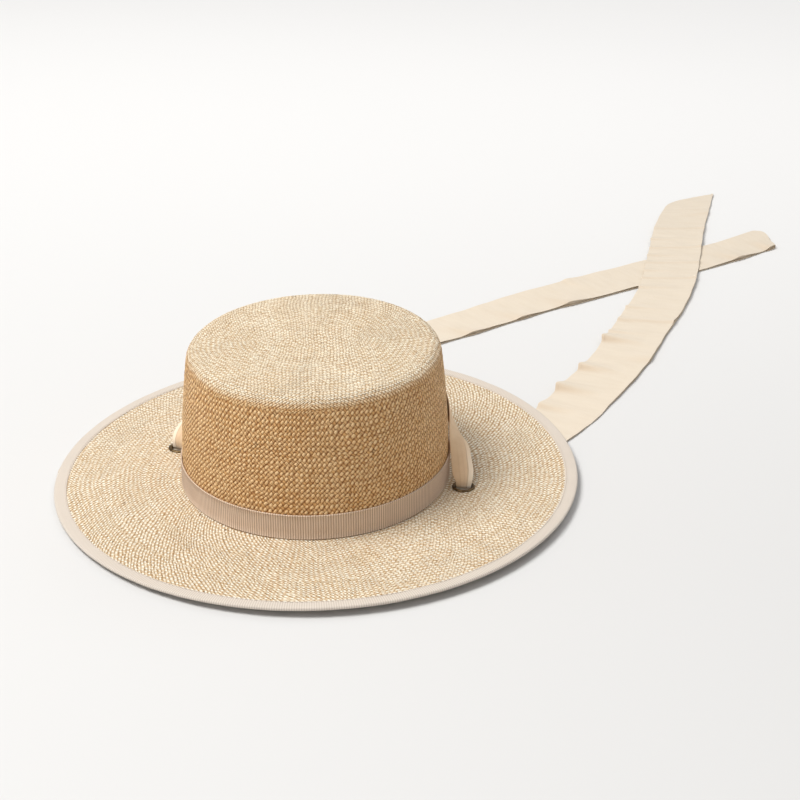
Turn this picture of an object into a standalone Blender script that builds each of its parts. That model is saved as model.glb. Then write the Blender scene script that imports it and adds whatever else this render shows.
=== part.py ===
"""Flat top straw hat with a grosgrain band and ribbon ties.

Metres, +Z up. The origin lies under the middle of the head opening, on the surface that the hat
rests on. +Y points to the back of the hat along the long axis of the head oval, and +X points to
the right as the hat is seen from its front.
"""
from math import cos, pi, radians, sin

import bmesh
import bpy
from mathutils import Vector

HAT = "flat_top_straw_hat"

# Clearance between pieces that touch
GAP = 0.0003

# Straw body
STRAW = 0.0014                # thickness of the woven straw
HEAD_ACROSS = 0.1778          # outside of the crown wall at its foot, side to side
HEAD_LONG = 0.1902            # outside of the crown wall at its foot, front to back
BRIM_WIDTH = 0.0854           # from the crown wall to the bare edge of the straw
BRIM_RISE = 0.0020            # how far the brim stands higher beside the crown than at its rim
CROWN_TOP = 0.1015            # height of the flat top
TOP_DOME = 0.0012             # how far the flat top stands above the end of the shoulder
FLAT_RADIUS = 0.0380          # mean radius of the truly flat middle of the top
WALL_LEAN = 0.0056            # how far the wall has drawn in where the shoulder starts
SHOULDER = 0.0090             # radius of the shoulder
CROWN_SIDES = 64
BRIM_SIDES = 80

# Sections of the crown, as shares of the wall's height and of the top's slope
WALL_SHARES = (0.0, 0.22, 0.44, 0.64, 0.82, 1.0)
TOP_SHARES = (0.35, 0.7, 1.0)
SHOULDER_STEPS = 6

# Sections of the brim, as shares of its width
BRIM_SHARES = (0.0, 0.12, 0.3, 0.5, 0.7, 0.86, 1.0)

# Where the rim is lifted off the surface: the direction of the lift's middle, how far it reaches
# to either side, and its height as a share of the highest lift
RIM_LIFT = 0.0052
LIFT_COLUMNS = ("direction_deg", "reach_deg", "height")
LIFTS = (
    (-36.0, 154.0, 0.87),
    (88.0, 91.0, 1.0),
)
DIP = 1.5                     # how the brim bends down: 1 is straight, more keeps level for longer

# Grosgrain band
BAND_HEIGHT = 0.0174
BAND_THICK = 0.0007

# Grosgrain binding folded over the brim's edge
BINDING_THICK = 0.0005
BINDING_OVER = 0.0088         # how far it reaches in over the brim, above and below
NOSE_STEPS = 4                # turns of its outer nose; the inner one has half as many

# Eyelets in the brim
EYELET_OUT = 0.0127           # from the crown wall to the eyelet's middle
EYELET_BEARING = 2.7          # degrees from the side towards the back
EYELET_HOLE = 0.0055
EYELET_WALL = 0.0005
EYELET_FLANGE = 0.0076
EYELET_DOME = 0.0009
EYELET_FOOT = 0.0004
EYELET_SIDES = 20
CUT_DEPTH = 0.0300

# The eyelet's upper flange, as shares of the way from the hole to its edge and of its dome
FLANGE_COLUMNS = ("across", "above")
FLANGE = (
    (0.0, 0.4),
    (0.24, 0.9),
    (0.52, 1.0),
    (0.81, 0.7),
    (1.0, 0.3),
    (1.0, 0.0),
)
CLINCH = 0.8                  # reach of the lower flange, as a share of the upper one's

# Ribbon of the ties
TIE_WIDTH = 0.0430
TIE_THICK = 0.0008
PINCH_CLEAR = 0.0007          # from the ribbon's edges to the eyelet's hole
PINCH_THICK = 0.0014          # where the ribbon is folded together
TIE_STEPS = 4                 # sections between two rows of a tie's table
LEVEL_RUN = 0.5               # a section turns along its course once this much of it is level

# The ribbon behind the crown, half of it, from the right eyelet to the middle of the back.
# bearing: around the crown from +X; out: share of the eyelet's distance from the crown wall;
# rise: share of LOOP_RISE; spread: 0 pinched, 1 full width; stand: 0 lies flat, 90 stands up.
LOOP_RISE = 0.0392
LOOP_COLUMNS = ("bearing_deg", "out", "rise", "spread", "stand_deg")
LOOP = (
    (EYELET_BEARING, 1.0, 0.0, 0.0, 0.0),
    (3.4, 0.98, 0.16, 0.04, 2.0),
    (7.0, 0.78, 0.37, 0.10, 10.0),
    (12.0, 0.58, 0.57, 0.15, 30.0),
    (20.0, 0.35, 0.74, 0.27, 64.0),
    (31.0, 0.22, 0.87, 0.49, 81.0),
    (46.0, 0.19, 0.96, 0.76, 86.0),
    (66.0, 0.20, 1.0, 0.94, 87.0),
    (90.0, 0.22, 1.0, 0.97, 87.0),
)

# The ribbon's free ends. Each one drops through its eyelet, turns under the brim and lies on the
# surface. across and back are measured from the eyelet's middle, height from the surface.
# lead: how far the right-hand edge of the section runs ahead of the left-hand one.
END_COLUMNS = ("across", "back", "height", "spread", "lead")
RIGHT_END = (
    (0.0000, 0.0003, 0.0022, 0.01, 0.0),
    (0.0002, 0.0018, 0.0011, 0.03, 0.0),
    (0.0015, 0.0080, 0.0009, 0.13, 0.0),
    (0.0085, 0.0330, 0.0008, 0.49, 0.0),
    (0.0225, 0.0730, 0.0008, 0.88, 0.0),
    (0.0380, 0.1230, 0.0008, 1.00, 0.0),
    (0.0515, 0.1850, 0.0010, 1.03, 0.0),
    (0.0620, 0.2500, 0.0014, 1.00, 0.0),
    (0.0675, 0.3150, 0.0018, 1.00, 0.0),
    (0.0720, 0.3800, 0.0024, 1.00, 0.0),
    (0.0685, 0.4450, 0.0024, 1.03, 0.0),
    (0.0620, 0.5150, 0.0022, 1.00, 0.0),
    (0.0590, 0.5700, 0.0010, 0.94, 0.0060),
    (0.0585, 0.6170, 0.0008, 0.82, 0.0330),
)
LEFT_END = (
    (0.0000, 0.0003, 0.0022, 0.01, 0.0),
    (0.0000, 0.0018, 0.0011, 0.03, 0.0),
    (0.0005, 0.0080, 0.0009, 0.13, 0.0),
    (0.0030, 0.0350, 0.0008, 0.52, 0.0),
    (0.0130, 0.0850, 0.0008, 0.91, 0.0),
    (0.0365, 0.1390, 0.0008, 0.97, 0.0),
    (0.0705, 0.1910, 0.0008, 0.94, 0.0),
    (0.1113, 0.2440, 0.0008, 0.91, 0.0),
    (0.1505, 0.2980, 0.0008, 0.94, 0.0),
    (0.1891, 0.3481, 0.0008, 1.00, 0.0),
    (0.2255, 0.3900, 0.0008, 1.03, 0.0),
    (0.2612, 0.4311, 0.0008, 1.00, 0.0),
    (0.2945, 0.4700, 0.0008, 0.94, 0.0),
    (0.3215, 0.5030, 0.0010, 0.85, -0.0060),
    (0.3415, 0.5320, 0.0016, 0.82, -0.0240),
)

# Worked out from the sizes above
RIM_TOP = STRAW + GAP + BINDING_THICK         # the straw's upper face where the rim rests
BRIM_FOOT = RIM_TOP + BRIM_RISE               # the straw's upper face beside the crown
PINCH_WIDTH = 2 * (EYELET_HOLE - PINCH_CLEAR)

# Colours, roughness and metallic value of each piece
LOOKS = {
    "crown": ((0.78, 0.60, 0.36, 1.0), 0.62, 0.0),
    "brim": ((0.80, 0.63, 0.39, 1.0), 0.62, 0.0),
    "band": ((0.55, 0.42, 0.33, 1.0), 0.80, 0.0),
    "brim_binding": ((0.74, 0.64, 0.54, 1.0), 0.80, 0.0),
    "eyelet_right": ((0.16, 0.11, 0.06, 1.0), 0.40, 1.0),
    "eyelet_left": ((0.16, 0.11, 0.06, 1.0), 0.40, 1.0),
    "tie_loop": ((0.86, 0.77, 0.62, 1.0), 0.88, 0.0),
    "tie_right": ((0.86, 0.77, 0.62, 1.0), 0.88, 0.0),
    "tie_left": ((0.86, 0.77, 0.62, 1.0), 0.88, 0.0),
}


def clear_scene():
    for obj in list(bpy.data.objects):
        bpy.data.objects.remove(obj, do_unlink=True)


def collection(name):
    made = bpy.data.collections.new(name)
    bpy.context.scene.collection.children.link(made)
    return made


def material(name):
    colour, roughness, metallic = LOOKS[name]
    made = bpy.data.materials.new(name)
    made.use_nodes = True
    shader = made.node_tree.nodes["Principled BSDF"]
    shader.inputs["Base Color"].default_value = colour
    shader.inputs["Roughness"].default_value = roughness
    shader.inputs["Metallic"].default_value = metallic
    return made


def add_object(name, mesh, home, parent, smooth_deg=35.0):
    obj = bpy.data.objects.new(name, mesh)
    home.objects.link(obj)
    obj.parent = parent
    obj.data.materials.append(material(name))
    mesh.shade_smooth()
    mesh.set_sharp_from_angle(angle=radians(smooth_deg))
    return obj


def oval(angle, out):
    """The point at a distance out from the foot of the crown wall, and the way out there."""
    half_x = HEAD_ACROSS / 2
    half_y = HEAD_LONG / 2
    way = Vector((cos(angle) / half_x, sin(angle) / half_y))
    way.normalize()
    return Vector((half_x * cos(angle), half_y * sin(angle))) + out * way, way


def lift(angle):
    """How far the rim stands off the surface in this direction."""
    total = 0.0
    for direction, reach, height in LIFTS:
        off = (angle * 180 / pi - direction + 180) % 360 - 180
        if abs(off) < reach:
            total += RIM_LIFT * height * (0.5 + 0.5 * cos(pi * off / reach))
    return total


def brim_top(angle, out):
    """Height of the brim's upper face, which runs from the crown's foot to the rim."""
    share = max(0.0, out) / BRIM_WIDTH
    return BRIM_FOOT + (RIM_TOP + lift(angle) - BRIM_FOOT) * share ** DIP


def skin(rings, loop=False):
    """A closed body through rings of points. A loop joins its last ring to its first."""
    shape = bmesh.new()
    rows = [[shape.verts.new(point) for point in ring] for ring in rings]
    count = len(rows[0])
    spans = list(zip(rows, rows[1:]))
    if loop:
        spans.append((rows[-1], rows[0]))
    for low, high in spans:
        for i in range(count):
            j = (i + 1) % count
            shape.faces.new((low[i], low[j], high[j], high[i]))
    if not loop:
        shape.faces.new(rows[0][::-1])
        shape.faces.new(rows[-1])
    bmesh.ops.recalc_face_normals(shape, faces=shape.faces)
    mesh = bpy.data.meshes.new("skin")
    shape.to_mesh(mesh)
    shape.free()
    return mesh


def crown_profile():
    """Inset, height and slope of the crown's outer face, from its foot to the flat middle."""
    foot = BRIM_FOOT + GAP
    shoulder_start = CROWN_TOP - TOP_DOME - SHOULDER
    lean = 2 * WALL_LEAN / (shoulder_start - foot)
    rows = []
    for share in WALL_SHARES:
        height = foot + (shoulder_start - foot) * share
        rows.append((WALL_LEAN * share ** 2, height, lean * share))
    for step in range(1, SHOULDER_STEPS + 1):
        slope = lean + (pi / 2 - lean) * step / SHOULDER_STEPS
        inset = WALL_LEAN + SHOULDER * (cos(lean) - cos(slope))
        height = shoulder_start + SHOULDER * (sin(slope) - sin(lean))
        rows.append((inset, height, slope))
    edge_inset, edge_height, _ = rows[-1]
    flat_inset = (HEAD_ACROSS + HEAD_LONG) / 4 - FLAT_RADIUS
    rise = CROWN_TOP - edge_height
    for share in TOP_SHARES:
        inset = edge_inset + (flat_inset - edge_inset) * share
        rows.append((inset, edge_height + rise * sin(pi / 2 * share), pi / 2))
    return rows


def crown_ring(inset, height):
    ring = []
    for i in range(CROWN_SIDES):
        point, _ = oval(2 * pi * i / CROWN_SIDES, -inset)
        ring.append((point.x, point.y, height))
    return ring


def make_crown(home, parent):
    rows = crown_profile()
    inner = [(inset + STRAW * cos(slope), height - STRAW * sin(slope)) for inset, height, slope in rows]
    outer = [(inset, height) for inset, height, _ in rows]
    rings = [crown_ring(inset, height) for inset, height in inner[::-1] + outer]
    return add_object("crown", skin(rings), home, parent)


def make_brim(home, cutters, parent):
    outs = [-STRAW + (BRIM_WIDTH + STRAW) * share for share in BRIM_SHARES]
    rings = []
    for i in range(BRIM_SIDES):
        angle = 2 * pi * i / BRIM_SIDES
        top = []
        bottom = []
        for out in outs:
            point, _ = oval(angle, out)
            height = brim_top(angle, out)
            top.append((point.x, point.y, height))
            bottom.append((point.x, point.y, height - STRAW))
        rings.append(top + bottom[::-1])
    brim = add_object("brim", skin(rings, loop=True), home, parent)
    for side, name in ((1, "right"), (-1, "left")):
        bpy.ops.mesh.primitive_cylinder_add(
            vertices=EYELET_SIDES,
            radius=EYELET_HOLE + EYELET_WALL + GAP,
            depth=CUT_DEPTH,
            location=eyelet_place(side),
        )
        cutter = bpy.context.object
        cutter.name = "hole_" + name
        for old in list(cutter.users_collection):
            old.objects.unlink(cutter)
        cutters.objects.link(cutter)
        cutter.hide_render = True
        cutter.display_type = "WIRE"
        cut = brim.modifiers.new("hole_" + name, "BOOLEAN")
        cut.object = cutter
        cut.operation = "DIFFERENCE"
    return brim


def make_band(home, parent):
    low = BRIM_FOOT + GAP
    rings = []
    for i in range(CROWN_SIDES):
        ring = []
        for out, height in (
            (GAP, low),
            (GAP + BAND_THICK, low),
            (GAP + BAND_THICK, low + BAND_HEIGHT),
            (GAP, low + BAND_HEIGHT),
        ):
            point, _ = oval(2 * pi * i / CROWN_SIDES, out)
            ring.append((point.x, point.y, height))
        rings.append(ring)
    return add_object("band", skin(rings, loop=True), home, parent)


def make_binding(home, parent):
    """A fold of ribbon around the straw's edge: two flat legs joined by a round nose."""
    inner_nose = STRAW / 2 + GAP
    outer_nose = inner_nose + BINDING_THICK
    inside = BRIM_WIDTH - BINDING_OVER + outer_nose
    rings = []
    for i in range(BRIM_SIDES):
        angle = 2 * pi * i / BRIM_SIDES
        middle = brim_top(angle, BRIM_WIDTH) - STRAW / 2
        leg = brim_top(angle, inside) - STRAW / 2
        ring = [(inside, leg + outer_nose)]
        for step in range(NOSE_STEPS + 1):
            turn = pi / 2 - pi * step / NOSE_STEPS
            ring.append((BRIM_WIDTH + outer_nose * cos(turn), middle + outer_nose * sin(turn)))
        ring.append((inside, leg - outer_nose))
        ring.append((inside, leg - inner_nose))
        for step in range(NOSE_STEPS // 2 + 1):
            turn = -pi / 2 + 2 * pi * step / NOSE_STEPS
            ring.append((BRIM_WIDTH + inner_nose * cos(turn), middle + inner_nose * sin(turn)))
        ring.append((inside, leg + inner_nose))
        points = []
        for out, height in ring:
            point, _ = oval(angle, out)
            points.append((point.x, point.y, height))
        rings.append(points)
    return add_object("brim_binding", skin(rings, loop=True), home, parent)


def eyelet_place(side):
    """The middle of the eyelet, half way through the straw."""
    point, _ = oval(radians(EYELET_BEARING), EYELET_OUT)
    angle = radians(EYELET_BEARING) if side > 0 else pi - radians(EYELET_BEARING)
    return Vector((side * point.x, point.y, brim_top(angle, EYELET_OUT) - STRAW / 2))


def make_eyelet(side, name, home, parent):
    """A turned ring whose two flanges grip the straw from above and below."""
    half = STRAW / 2 + GAP
    wall = EYELET_HOLE + EYELET_WALL
    reach = EYELET_FLANGE - EYELET_HOLE
    clinch = EYELET_HOLE + CLINCH * reach
    profile = [(EYELET_HOLE + reach * across, half + EYELET_DOME * above) for across, above in FLANGE]
    profile += [
        (wall, half),
        (wall, -half),
        (clinch, -half),
        (clinch, -half - EYELET_FOOT),
        (EYELET_HOLE, -half - EYELET_FOOT),
    ]
    mesh = bpy.data.meshes.new(name)
    edges = [(i, (i + 1) % len(profile)) for i in range(len(profile))]
    mesh.from_pydata([(radius, 0.0, height) for radius, height in profile], edges, [])
    eyelet = add_object(name, mesh, home, parent)
    eyelet.location = eyelet_place(side)
    turn = eyelet.modifiers.new("turn", "SCREW")
    turn.steps = EYELET_SIDES
    turn.render_steps = EYELET_SIDES
    turn.use_merge_vertices = True
    turn.merge_threshold = 0.00002
    turn.use_smooth_shade = True
    return eyelet


def between(rows, steps):
    """The rows of a table with smooth rows put in between (a Catmull-Rom curve)."""
    out = []
    last = len(rows) - 1
    for i in range(last):
        before = rows[max(i - 1, 0)]
        start = rows[i]
        end = rows[i + 1]
        after = rows[min(i + 2, last)]
        for step in range(steps):
            t = step / steps
            row = []
            for p0, p1, p2, p3 in zip(before, start, end, after):
                row.append(0.5 * (
                    2 * p1 + (p2 - p0) * t
                    + (2 * p0 - 5 * p1 + 4 * p2 - p3) * t ** 2
                    + (3 * p1 - p0 - 3 * p2 + p3) * t ** 3
                ))
            out.append(tuple(row))
    out.append(tuple(rows[last]))
    return out


def ribbon_ring(centre, run, side_way, width, thick, lead=0.0):
    """Six corners of a ribbon's section: both edges and the middle, above and below."""
    face = side_way.cross(run).normalized() * (thick / 2)
    across = [centre + (side_way * width + run * lead) * share for share in (-0.5, 0.0, 0.5)]
    return [point + face for point in across] + [point - face for point in across[::-1]]


def ribbon_size(spread):
    """Width and thickness of the ribbon where it is spread out that far."""
    width = PINCH_WIDTH + (TIE_WIDTH - PINCH_WIDTH) * spread
    folded = max(0.0, 1.0 - spread) ** 2
    return width, TIE_THICK + (PINCH_THICK - TIE_THICK) * folded


def make_tie_loop(home, parent):
    """The stretch that rises from one eyelet, stands behind the crown and drops to the other."""
    mirrored = [(180.0 - row[0],) + row[1:] for row in LOOP[-2::-1]]
    rows = between(LOOP + tuple(mirrored), TIE_STEPS)
    last = len(rows) - 1
    centres = []
    for i, (bearing, out, rise, _, _) in enumerate(rows):
        foot = eyelet_place(1 if 2 * i < last else -1).z + GAP
        point, _ = oval(radians(bearing), EYELET_OUT * out)
        centres.append(Vector((point.x, point.y, foot + LOOP_RISE * rise)))
    rings = []
    for i, (bearing, _, _, spread, stand) in enumerate(rows):
        run = (centres[min(i + 1, last)] - centres[max(i - 1, 0)]).normalized()
        if i in (0, last):
            run = Vector((0.0, 0.0, 1.0 if i == 0 else -1.0))
        _, way = oval(radians(bearing), 0.0)
        outward = Vector((way.x, way.y, 0.0))
        outward = (outward - run * outward.dot(run)).normalized()
        up = outward.cross(run).normalized()
        side_way = outward * cos(radians(stand)) - up * sin(radians(stand))
        rings.append(ribbon_ring(centres[i], run, side_way, *ribbon_size(spread)))
    return add_object("tie_loop", skin(rings), home, parent)


def make_tie_end(side, name, table, home, parent):
    """A free end: it drops through its eyelet, turns under the brim and lies on the surface."""
    eyelet = eyelet_place(side)
    rows = between(((0.0, 0.0, eyelet.z, 0.0, 0.0),) + table, TIE_STEPS)
    centres = [Vector((eyelet.x + row[0], eyelet.y + row[1], row[2])) for row in rows]
    rings = []
    last = len(centres) - 1
    for i, (_, _, _, spread, lead) in enumerate(rows):
        run = (centres[min(i + 1, last)] - centres[max(i - 1, 0)]).normalized()
        if i == 0:
            run = Vector((0.0, 0.0, -1.0))
        course = Vector((run.x, run.y))
        if course.length < LEVEL_RUN:
            course = Vector((0.0, 1.0))
        course.normalize()
        side_way = Vector((course.y, -course.x, 0.0))
        side_way = (side_way - run * side_way.dot(run)).normalized()
        rings.append(ribbon_ring(centres[i], run, side_way, *ribbon_size(spread), lead))
    return add_object(name, skin(rings), home, parent)


def main():
    clear_scene()
    home = collection(HAT)
    cutters = collection("cutters")
    root = bpy.data.objects.new("hat", None)
    home.objects.link(root)
    make_crown(home, root)
    make_brim(home, cutters, root)
    make_band(home, root)
    make_binding(home, root)
    make_eyelet(1, "eyelet_right", home, root)
    make_eyelet(-1, "eyelet_left", home, root)
    make_tie_loop(home, root)
    make_tie_end(1, "tie_right", RIGHT_END, home, root)
    make_tie_end(-1, "tie_left", LEFT_END, home, root)


main()
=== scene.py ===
"""Looks of the flat top straw hat: woven straw, grosgrain band and binding, ribbon ties."""
from math import cos, pi, radians, sin

import bpy
import numpy as np
from mathutils import Matrix, Vector


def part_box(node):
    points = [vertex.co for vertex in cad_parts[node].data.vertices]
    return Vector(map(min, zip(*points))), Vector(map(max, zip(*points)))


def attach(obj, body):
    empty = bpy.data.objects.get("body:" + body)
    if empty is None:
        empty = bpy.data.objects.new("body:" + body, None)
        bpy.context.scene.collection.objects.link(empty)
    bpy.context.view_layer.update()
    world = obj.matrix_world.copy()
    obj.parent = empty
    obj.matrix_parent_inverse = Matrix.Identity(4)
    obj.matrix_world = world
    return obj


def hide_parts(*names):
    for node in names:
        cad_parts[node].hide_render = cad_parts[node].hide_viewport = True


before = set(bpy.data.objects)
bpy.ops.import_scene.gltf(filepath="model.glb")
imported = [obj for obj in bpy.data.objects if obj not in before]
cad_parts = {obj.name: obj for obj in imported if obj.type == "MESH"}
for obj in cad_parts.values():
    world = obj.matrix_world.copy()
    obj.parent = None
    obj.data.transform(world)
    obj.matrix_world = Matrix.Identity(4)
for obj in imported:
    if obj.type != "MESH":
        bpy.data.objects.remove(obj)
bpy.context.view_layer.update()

MM = 0.001

# Sizes read from the frame
CROWN_LOW, CROWN_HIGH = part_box("crown")
BAND_LOW, BAND_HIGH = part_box("band")
HALF_X = CROWN_HIGH[0]
HALF_Y = CROWN_HIGH[1]
CROWN_FOOT = CROWN_LOW[2]
CROWN_TOP = CROWN_HIGH[2]

# Sizes of the solids, as in the part's source
GAP = 0.0003
STRAW = 0.0014
BRIM_WIDTH = 0.0854
BRIM_RISE = 0.0020
BINDING_THICK = 0.0005
BINDING_OVER = 0.0088
BAND_THICK = 0.0007
TOP_DOME = 0.0012
WALL_LEAN = 0.0056
SHOULDER = 0.0090
RIM_LIFT = 0.0052
LIFTS = ((-36.0, 154.0, 0.87), (88.0, 91.0, 1.0))
DIP = 1.5
EYELET_OUT = 0.0127
EYELET_BEARING = 2.7
EYELET_HOLE = 0.0055
EYELET_FLANGE = 0.0076
TIE_WIDTH = 0.0430
PINCH_WIDTH = 2 * (EYELET_HOLE - 0.0007)
RIM_TOP = STRAW + GAP + BINDING_THICK
BRIM_FOOT = RIM_TOP + BRIM_RISE

# The ribbon's routes, as in the part's source: the stretch behind the crown (half of it) and the
# two free ends, measured from the eyelet's middle
LOOP_RISE = 0.0392
# Bearing in degrees, share of EYELET_OUT, share of LOOP_RISE, spread, and stand in degrees
LOOP = (
    (EYELET_BEARING, 1.0, 0.0, 0.0, 0.0),
    (3.4, 0.98, 0.16, 0.04, 2.0),
    (7.0, 0.78, 0.37, 0.10, 10.0),
    (12.0, 0.58, 0.57, 0.15, 30.0),
    (20.0, 0.35, 0.74, 0.27, 64.0),
    (31.0, 0.22, 0.87, 0.49, 81.0),
    (46.0, 0.19, 0.96, 0.76, 86.0),
    (66.0, 0.20, 1.0, 0.94, 87.0),
    (90.0, 0.22, 1.0, 0.97, 87.0),
)
# Across, back, height, spread, and how far the right edge leads the left one
RIGHT_END = (
    (0.0000, 0.0003, 0.0022, 0.01, 0.0),
    (0.0002, 0.0018, 0.0011, 0.03, 0.0),
    (0.0015, 0.0080, 0.0009, 0.13, 0.0),
    (0.0085, 0.0330, 0.0008, 0.49, 0.0),
    (0.0225, 0.0730, 0.0008, 0.88, 0.0),
    (0.0380, 0.1230, 0.0008, 1.00, 0.0),
    (0.0515, 0.1850, 0.0010, 1.03, 0.0),
    (0.0620, 0.2500, 0.0014, 1.00, 0.0),
    (0.0675, 0.3150, 0.0018, 1.00, 0.0),
    (0.0720, 0.3800, 0.0024, 1.00, 0.0),
    (0.0685, 0.4450, 0.0024, 1.03, 0.0),
    (0.0620, 0.5150, 0.0022, 1.00, 0.0),
    (0.0590, 0.5700, 0.0010, 0.94, 0.0060),
    (0.0585, 0.6170, 0.0008, 0.82, 0.0330),
)
LEFT_END = (
    (0.0000, 0.0003, 0.0022, 0.01, 0.0),
    (0.0000, 0.0018, 0.0011, 0.03, 0.0),
    (0.0005, 0.0080, 0.0009, 0.13, 0.0),
    (0.0030, 0.0350, 0.0008, 0.52, 0.0),
    (0.0130, 0.0850, 0.0008, 0.91, 0.0),
    (0.0365, 0.1390, 0.0008, 0.97, 0.0),
    (0.0705, 0.1910, 0.0008, 0.94, 0.0),
    (0.1113, 0.2440, 0.0008, 0.91, 0.0),
    (0.1505, 0.2980, 0.0008, 0.94, 0.0),
    (0.1891, 0.3481, 0.0008, 1.00, 0.0),
    (0.2255, 0.3900, 0.0008, 1.03, 0.0),
    (0.2612, 0.4311, 0.0008, 1.00, 0.0),
    (0.2945, 0.4700, 0.0008, 0.94, 0.0),
    (0.3215, 0.5030, 0.0010, 0.85, -0.0060),
    (0.3415, 0.5320, 0.0016, 0.82, -0.0240),
)

# Camera, fitted to the photograph's frame
CAMERA_DISTANCE = 1.30
CAMERA_ELEVATION = 27.76
CAMERA_BEARING = (0.3218, -0.9468)
CAMERA_ROLL = -1.0
CAMERA_LENS = 86.23
SENSOR = 36.0
FRAME_SIZE = 800.0
ORIGIN_PIXEL = (316.2, 475.9)


# Helpers: geometry

def oval(angle, out):
    """Points at a distance out from the foot of the crown wall, and the way out there."""
    angle, out = np.broadcast_arrays(np.asarray(angle, float), np.asarray(out, float))
    way = np.stack([np.cos(angle) / HALF_X, np.sin(angle) / HALF_Y], axis=-1)
    way = way / np.linalg.norm(way, axis=-1, keepdims=True)
    foot = np.stack([HALF_X * np.cos(angle), HALF_Y * np.sin(angle)], axis=-1)
    return foot + out[..., None] * way, way


def rim_lift(angle):
    total = np.zeros_like(np.asarray(angle, float))
    for direction, reach, height in LIFTS:
        off = (np.degrees(angle) - direction + 180) % 360 - 180
        bump = RIM_LIFT * height * (0.5 + 0.5 * np.cos(pi * off / reach))
        total = total + np.where(np.abs(off) < reach, bump, 0.0)
    return total


def brim_top(angle, out):
    share = np.maximum(0.0, out) / BRIM_WIDTH
    return BRIM_FOOT + (RIM_TOP + rim_lift(angle) - BRIM_FOOT) * share ** DIP


def eyelet_place(side):
    point, _ = oval(radians(EYELET_BEARING), EYELET_OUT)
    angle = radians(EYELET_BEARING) if side > 0 else pi - radians(EYELET_BEARING)
    return Vector((side * point[0], point[1], float(brim_top(angle, EYELET_OUT)) - STRAW / 2))


def wander(points, wavelength, seed):
    """Smooth noise, about -1 to 1, of points in space: a few seeded waves added up."""
    rng = np.random.default_rng(seed)
    total = np.zeros(points.shape[:-1])
    waves = 7
    for _ in range(waves):
        way = rng.normal(size=3)
        way /= np.linalg.norm(way)
        length = wavelength * rng.uniform(0.7, 1.6)
        total += np.sin(2 * pi * (points @ way) / length + rng.uniform(0, 2 * pi))
    return total / waves ** 0.5


# A crossing of the weave is a pillow, in strand widths: how far it reaches along its strand, past
# the edge of its own crossing, and to either side
PILLOW_ALONG = 0.68
PILLOW_ACROSS = 0.46
LOWER_PILLOW = 0.62  # height of the crossings whose strand runs the other way
UNEVEN_LOW = 0.78  # lowest height of a pillow, where the highest is as far above 1
HASH_A = 12.9898  # three values that turn a cell's place into a number of its own
HASH_B = 78.233
HASH_GAIN = 43758.5453


def weave_height(a, b):
    """Height, 0 to 1, of a plain weave of strands along a and b, with round pillows."""
    off_a = np.abs(a - np.floor(a) - 0.5)
    off_b = np.abs(b - np.floor(b) - 0.5)
    odd = (np.floor(a) + np.floor(b)) % 2
    along = np.where(odd < 1, off_a, off_b)
    across = np.where(odd < 1, off_b, off_a)

    def pillow(x, y):
        lengthwise = np.maximum(0.0, 1 - (x / PILLOW_ALONG) ** 2)
        return np.sqrt(lengthwise * np.maximum(0.0, 1 - (y / PILLOW_ACROSS) ** 2))

    own = np.where(odd < 1, 1.0, LOWER_PILLOW)
    neighbour = np.where(odd < 1, LOWER_PILLOW, 1.0)
    cell = np.sin(np.floor(a) * HASH_A + np.floor(b) * HASH_B) * HASH_GAIN
    uneven = UNEVEN_LOW + 2 * (1 - UNEVEN_LOW) * (cell - np.floor(cell))
    return np.maximum(own * uneven * pillow(along, across), neighbour * pillow(1 - across, along))


def smooth_step(value, low, high):
    """0 below low, 1 above high, and eased in between."""
    share = np.clip((value - low) / (high - low), 0.0, 1.0)
    return share * share * (3 - 2 * share)


def with_height(level, height):
    """Points in space from points on the level and their heights."""
    height = np.broadcast_to(height[..., None], level.shape[:-1] + (1,))
    return np.concatenate([level, height], axis=-1)


def mesh_object(name, points, faces, uv, material, smooth_deg=180.0, ends=()):
    """A mesh piece from arrays. uv has a value for each corner of each face.

    ends holds further faces, with more corners, as lists.
    """
    mesh = bpy.data.meshes.new(name)
    mesh.from_pydata(points.reshape(-1, 3).tolist(), [], [*faces.tolist(), *ends])
    layer = mesh.uv_layers.new(name="weave")
    layer.data.foreach_set("uv", np.asarray(uv, np.float32).ravel())
    mesh.shade_smooth()
    if smooth_deg < 180.0:
        mesh.set_sharp_from_angle(angle=radians(smooth_deg))
    mesh.materials.append(material)
    piece = bpy.data.objects.new(name, mesh)
    bpy.context.scene.collection.objects.link(piece)
    return piece


def grid_faces(rows, columns, wrap_rows=False):
    """Corner indices and corner (row, column) steps of a grid of points, closed around."""
    row = np.arange(rows if wrap_rows else rows - 1)
    row, column = [x.ravel() for x in np.meshgrid(row, np.arange(columns), indexing="ij")]
    steps_row = np.stack([row, row, row + 1, row + 1], axis=-1)
    steps_column = np.stack([column, column + 1, column + 1, column], axis=-1)
    faces = (steps_row % rows) * columns + steps_column % columns
    return faces, steps_row, steps_column


def ride(piece, slot, *nodes):
    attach(piece, "root")
    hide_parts(*nodes)


# Helpers: materials

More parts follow.
